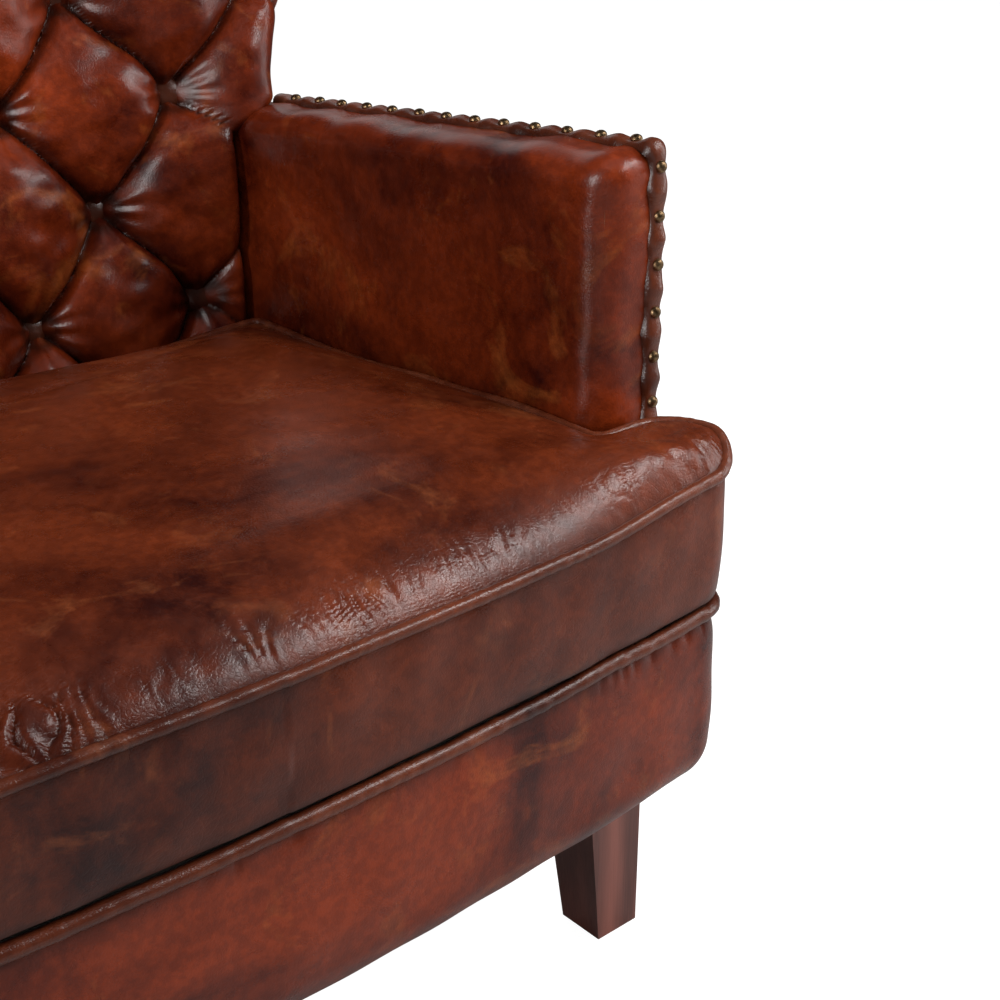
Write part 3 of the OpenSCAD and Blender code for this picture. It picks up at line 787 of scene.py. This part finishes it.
def back_front(x, z):
    """Distance of the padding's face from the back's own plane, before buttoning."""
    a = np.abs(x)
    forward = np.clip(0.015 + 0.2 * (z - 0.1), 0, 0.043) * smooth(a, 0.17, 0.33)
    forward = forward + (0.030 * smooth(z, 0.27, 0.42) - 0.010) * smooth(a, 0.31, 0.37)
    return -0.003 - forward + 0.005 * (1 - smooth(a, 0, 0.2)) * smooth(z, 0.0, 0.2)


BETWEEN_ARMS = 0.2985
cols, rows = int(360 * FINE) + 1, int(300 * FINE)
X, Z = np.meshgrid(np.linspace(-1, 1, cols), np.linspace(0.004, 1, rows))
X = np.sign(X) * (1 - (1 - np.abs(X)) ** 1.06)
x0 = X * CORNER_X
side_half = back_half(Z * CORNER_Z)
narrow = smooth(Z * back_top(x0), 0.238, 0.268)
gx = X * (BETWEEN_ARMS + (side_half - BETWEEN_ARMS) * narrow)
gz = Z * back_top(x0)
border = np.concatenate([np.column_stack([gx[:, -1], gz[:, -1]]), np.column_stack([gx[-1], gz[-1]]),
                         np.column_stack([gx[:, 0], gz[:, 0]])])
fine = np.concatenate([border[:-1] + (border[1:] - border[:-1]) * t for t in (0, 0.25, 0.5, 0.75)])
fine = fine[np.abs(np.concatenate([np.diff(border, axis=0)] * 4)).max(1) < 0.1]
tree = KDTree(len(fine))
for i, q in enumerate(fine):
    tree.insert((q[0], q[1], 0), i)
tree.balance()
edge = np.array([tree.find((a, b, 0))[2] for a, b in zip(gx.ravel().tolist(), gz.ravel().tolist())])
edge = edge.reshape(gx.shape)
edge[:, 0], edge[:, -1], edge[-1] = 0, 0, 0
roll = 0.009 + 0.022 * smooth(gz, 0.28, 0.38)
to_go = roll - np.minimum(edge, roll)
behind = np.where(edge < roll, roll - np.sqrt(np.maximum(roll ** 2 - to_go ** 2, 0)), 0)
depth, fold = tuft(gx, gz)
keep = 0.35 + 0.65 * smooth(edge, 0.0, 0.05)
gy = back_front(gx, gz) + depth * keep + behind
limit = (0.0006 - gz * math.sin(RECLINE)) / math.cos(RECLINE)
gy = np.where(np.abs(gx) < 0.306, np.maximum(gy, limit), gy)
surface = lean(gx, gy, gz)
flank, WALL_BACK = 10, 0.1275
ring = np.concatenate([np.stack([gx[:, 0], gy[:, 0], gz[:, 0]], -1),
                       np.stack([gx[-1], gy[-1], gz[-1]], -1)[1:-1],
                       np.stack([gx[:, -1], gy[:, -1], gz[:, -1]], -1)[::-1]])
t = np.linspace(0, 1, flank)[:, None]
wall = np.stack([ring[None, :, 0] + 0 * t, ring[None, :, 1] + (WALL_BACK - ring[None, :, 1]) * t,
                 ring[None, :, 2] + 0 * t], -1)
belly_out = 0.0015 * np.sin(np.pi * t[1:-1]) * (np.abs(ring[None, :, 0]) > 0.34)
wall[1:-1, :, 0] += np.sign(wall[1:-1, :, 0]) * belly_out
wall_v = lean(wall[..., 0], wall[..., 1], wall[..., 2]).reshape(-1, 3)
n0 = surface.shape[0] * surface.shape[1]
# Painted shade on the back's side wall, deepest at its rear edge.
wall_fold = np.broadcast_to(np.exp(-(1 - t) / 0.06) * 0.8, (flank, len(ring)))
back = piece("tufted_back", np.concatenate([surface.reshape(-1, 3), wall_v]),
             np.concatenate([quads(rows, cols), quads(flank, len(ring)) + n0]), HIDE, ROOT,
             ("back_pad", "wing_pad_left", "wing_pad_right"),
             np.concatenate([fold.ravel(), wall_fold.ravel()]))
print("tufted surface points:", n0, "deepest fold:", round(float(depth.max()) * 1000, 1), "mm")

# %% [markdown]
# Covered buttons are small leather domes with a tight skirt that disappears into the padding. Each sits
# on the surface at its own crossing, a little behind the pillows round it.

# %% Make the covered buttons
verts, faces, count = [], [], 0
for m in range(7):
    for k in range(-3, 4):
        bx, bz = (k if m % 2 == 0 else k + 0.5) * BUTTON_DX, BUTTON_Z0 + m * BUTTON_DZ
        if abs(bx) > (0.28 if m % 2 == 0 or m == 1 else 0.33):
            continue
        i, j = divmod(int(np.argmin((gx - bx) ** 2 + (gz - bz) ** 2)), cols)
        v, f = dome(0.0125, 0.0075, 28, 9)
        v[:, 2] -= 0.0015
        j0, j1 = max(j - 12, 0), min(j + 12, cols - 1)
        slope = (gy[i, j1] - gy[i, j0]) / (gx[i, j1] - gx[i, j0])
        slope = float(np.clip(slope, -0.5, 0.5))
        local = np.stack([bx + v[:, 0], gy[i, j] - v[:, 2] + slope * v[:, 0], bz + v[:, 1]], -1)
        verts.append(lean(local[:, 0], local[:, 1], local[:, 2]))
        faces += [[a + count for a in q] for q in f]
        count += len(v)
piece("covered_buttons", np.concatenate(verts), faces, BUTTON_HIDE, ROOT, ("back_buttons",))
print("buttons:", len(verts))

# %% [markdown]
# ## Timber, steel and cloth that already exist
# The legs and the inner frame are exact solids. They need only a finish, and a small bevel where an edge
# can be seen, because no sawn edge is perfectly sharp.

# %% Finish the remaining solids
FINISH = {"frame_wood": RAW_WOOD, "leg_wood": LEG_WOOD, "spring_steel": STEEL, "glide_plastic": GLIDE,
          "nail_brass": BRASS, "dark_cloth": DARK_CLOTH, "webbing": STRAP, "cushion_fill": DARK_CLOTH,
          "zip_tape": TAPE,
          "button_leather": BUTTON_HIDE, "aged_leather": HIDE}
SLOTS = {s["node"]: s["material_slot"] for s in frame["record"]["subparts"]}
for name, ob in frame["nodes"].items():
    ob.data.materials.clear()
    ob.data.materials.append(FINISH[SLOTS[name]])
    if "_leg_" in name or "rail" in name or "post" in name:
        bev = ob.modifiers.new("Soft edge", "BEVEL")
        bev.width, bev.segments, bev.limit_method = 0.0022, 3, "ANGLE"
print("solids finished:", len(frame["nodes"]))

# %% [markdown]
# ## The studio
# The floor and the surroundings are pale. Broad soft lamps light the leather but are not mirrored in it,
# which keeps the dye deep. Narrow strips and one faint panel behind give the waxed highlights instead.

# %% Floor, lamps and camera
floor_mat, t, b, vec = material("Pale studio floor")
t.links.new(mix(t, noise(t, vec, 3.0), (0.21, 0.21, 0.21, 1), (0.23, 0.23, 0.23, 1)), b.inputs["Base Color"])
b.inputs["Roughness"].default_value = 0.7
b.inputs["Emission Color"].default_value = (1, 1, 1, 1)
seen = add(t, "ShaderNodeLightPath").outputs["Is Camera Ray"]
t.links.new(math_node(t, "MULTIPLY", seen, 0.97), b.inputs["Emission Strength"])
me = bpy.data.meshes.new("studio_floor")
me.from_pydata([(-6, -6, -0.0002), (6, -6, -0.0002), (6, 6, -0.0002), (-6, 6, -0.0002)], [], [(0, 1, 2, 3)])
floor = bpy.data.objects.new("studio_floor", me)
me.materials.append(floor_mat)
bpy.context.scene.collection.objects.link(floor)


def lamp(name, where, aim, size, power, colour=(1, 1, 1), mirrored=True):
    data = bpy.data.lights.new(name, "AREA")
    data.shape, data.size, data.size_y, data.energy, data.color = "RECTANGLE", size[0], size[1], power, colour
    ob = bpy.data.objects.new(name, data)
    ob.location = where
    ob.visible_glossy = mirrored
    ob.rotation_euler = (Vector(aim) - Vector(where)).to_track_quat("-Z", "Y").to_euler()
    bpy.context.scene.collection.objects.link(ob)
    return ob


lamp("overhead", (0.1, -0.5, 2.5), (0.0, -0.1, 0.4), (1.8, 1.2), 44, mirrored=False)
lamp("strip_above", (1.0, -0.95, 1.5), (0.0, -0.3, 0.4), (1.0, 0.16), 10)
lamp("tall_left", (-1.9, -0.4, 1.2), (0.1, 0.1, 0.6), (0.30, 1.5), 30)
lamp("low_left", (-1.5, -2.2, 0.7), (0.0, -0.3, 0.3), (1.0, 0.8), 15, mirrored=False)
lamp("strip_right", (1.7, -0.9, 0.8), (0.3, -0.3, 0.3), (0.30, 1.2), 6)
lamp("front_right", (1.9, -2.2, 1.2), (0.1, -0.1, 0.35), (1.2, 1.6), 70, (1, 0.98, 0.95), mirrored=False)
lamp("behind", (0.9, 2.2, 1.7), (0.2, 0.0, 0.5), (2.2, 1.4), 26, mirrored=False)
lamp("haze_behind", (1.0, 2.6, 2.0), (0.2, 0.0, 0.5), (2.6, 1.8), 9)
world = bpy.data.worlds.new("Studio")
bpy.context.scene.world = world
world.use_nodes = True
wt = world.node_tree
back_node = wt.nodes["Background"]
back_node.inputs["Color"].default_value = (1, 1, 1, 1)
path_node = wt.nodes.new("ShaderNodeLightPath")
seen = math_node(wt, "MULTIPLY", path_node.outputs["Is Camera Ray"], 0.99)
fill = math_node(wt, "MULTIPLY", path_node.outputs["Is Diffuse Ray"], 0.13)
wt.links.new(math_node(wt, "ADD", math_node(wt, "ADD", seen, fill), 0.04), back_node.inputs["Strength"])
bpy.context.scene.view_settings.view_transform = "Standard"

cam_data = bpy.data.cameras.new("camera")
cam_data.lens, cam_data.sensor_width = 60.0, 36.0
cam = bpy.data.objects.new("camera", cam_data)
cam.location = (-0.394, -1.013 + Y_MID, 0.816)
azimuth, pitch = math.radians(41.0), math.radians(24.2)
look = Vector((math.sin(azimuth) * math.cos(pitch), math.cos(azimuth) * math.cos(pitch), -math.sin(pitch)))
cam.rotation_euler = look.to_track_quat("-Z", "Y").to_euler()
bpy.context.scene.collection.objects.link(cam)
bpy.context.scene.camera = cam
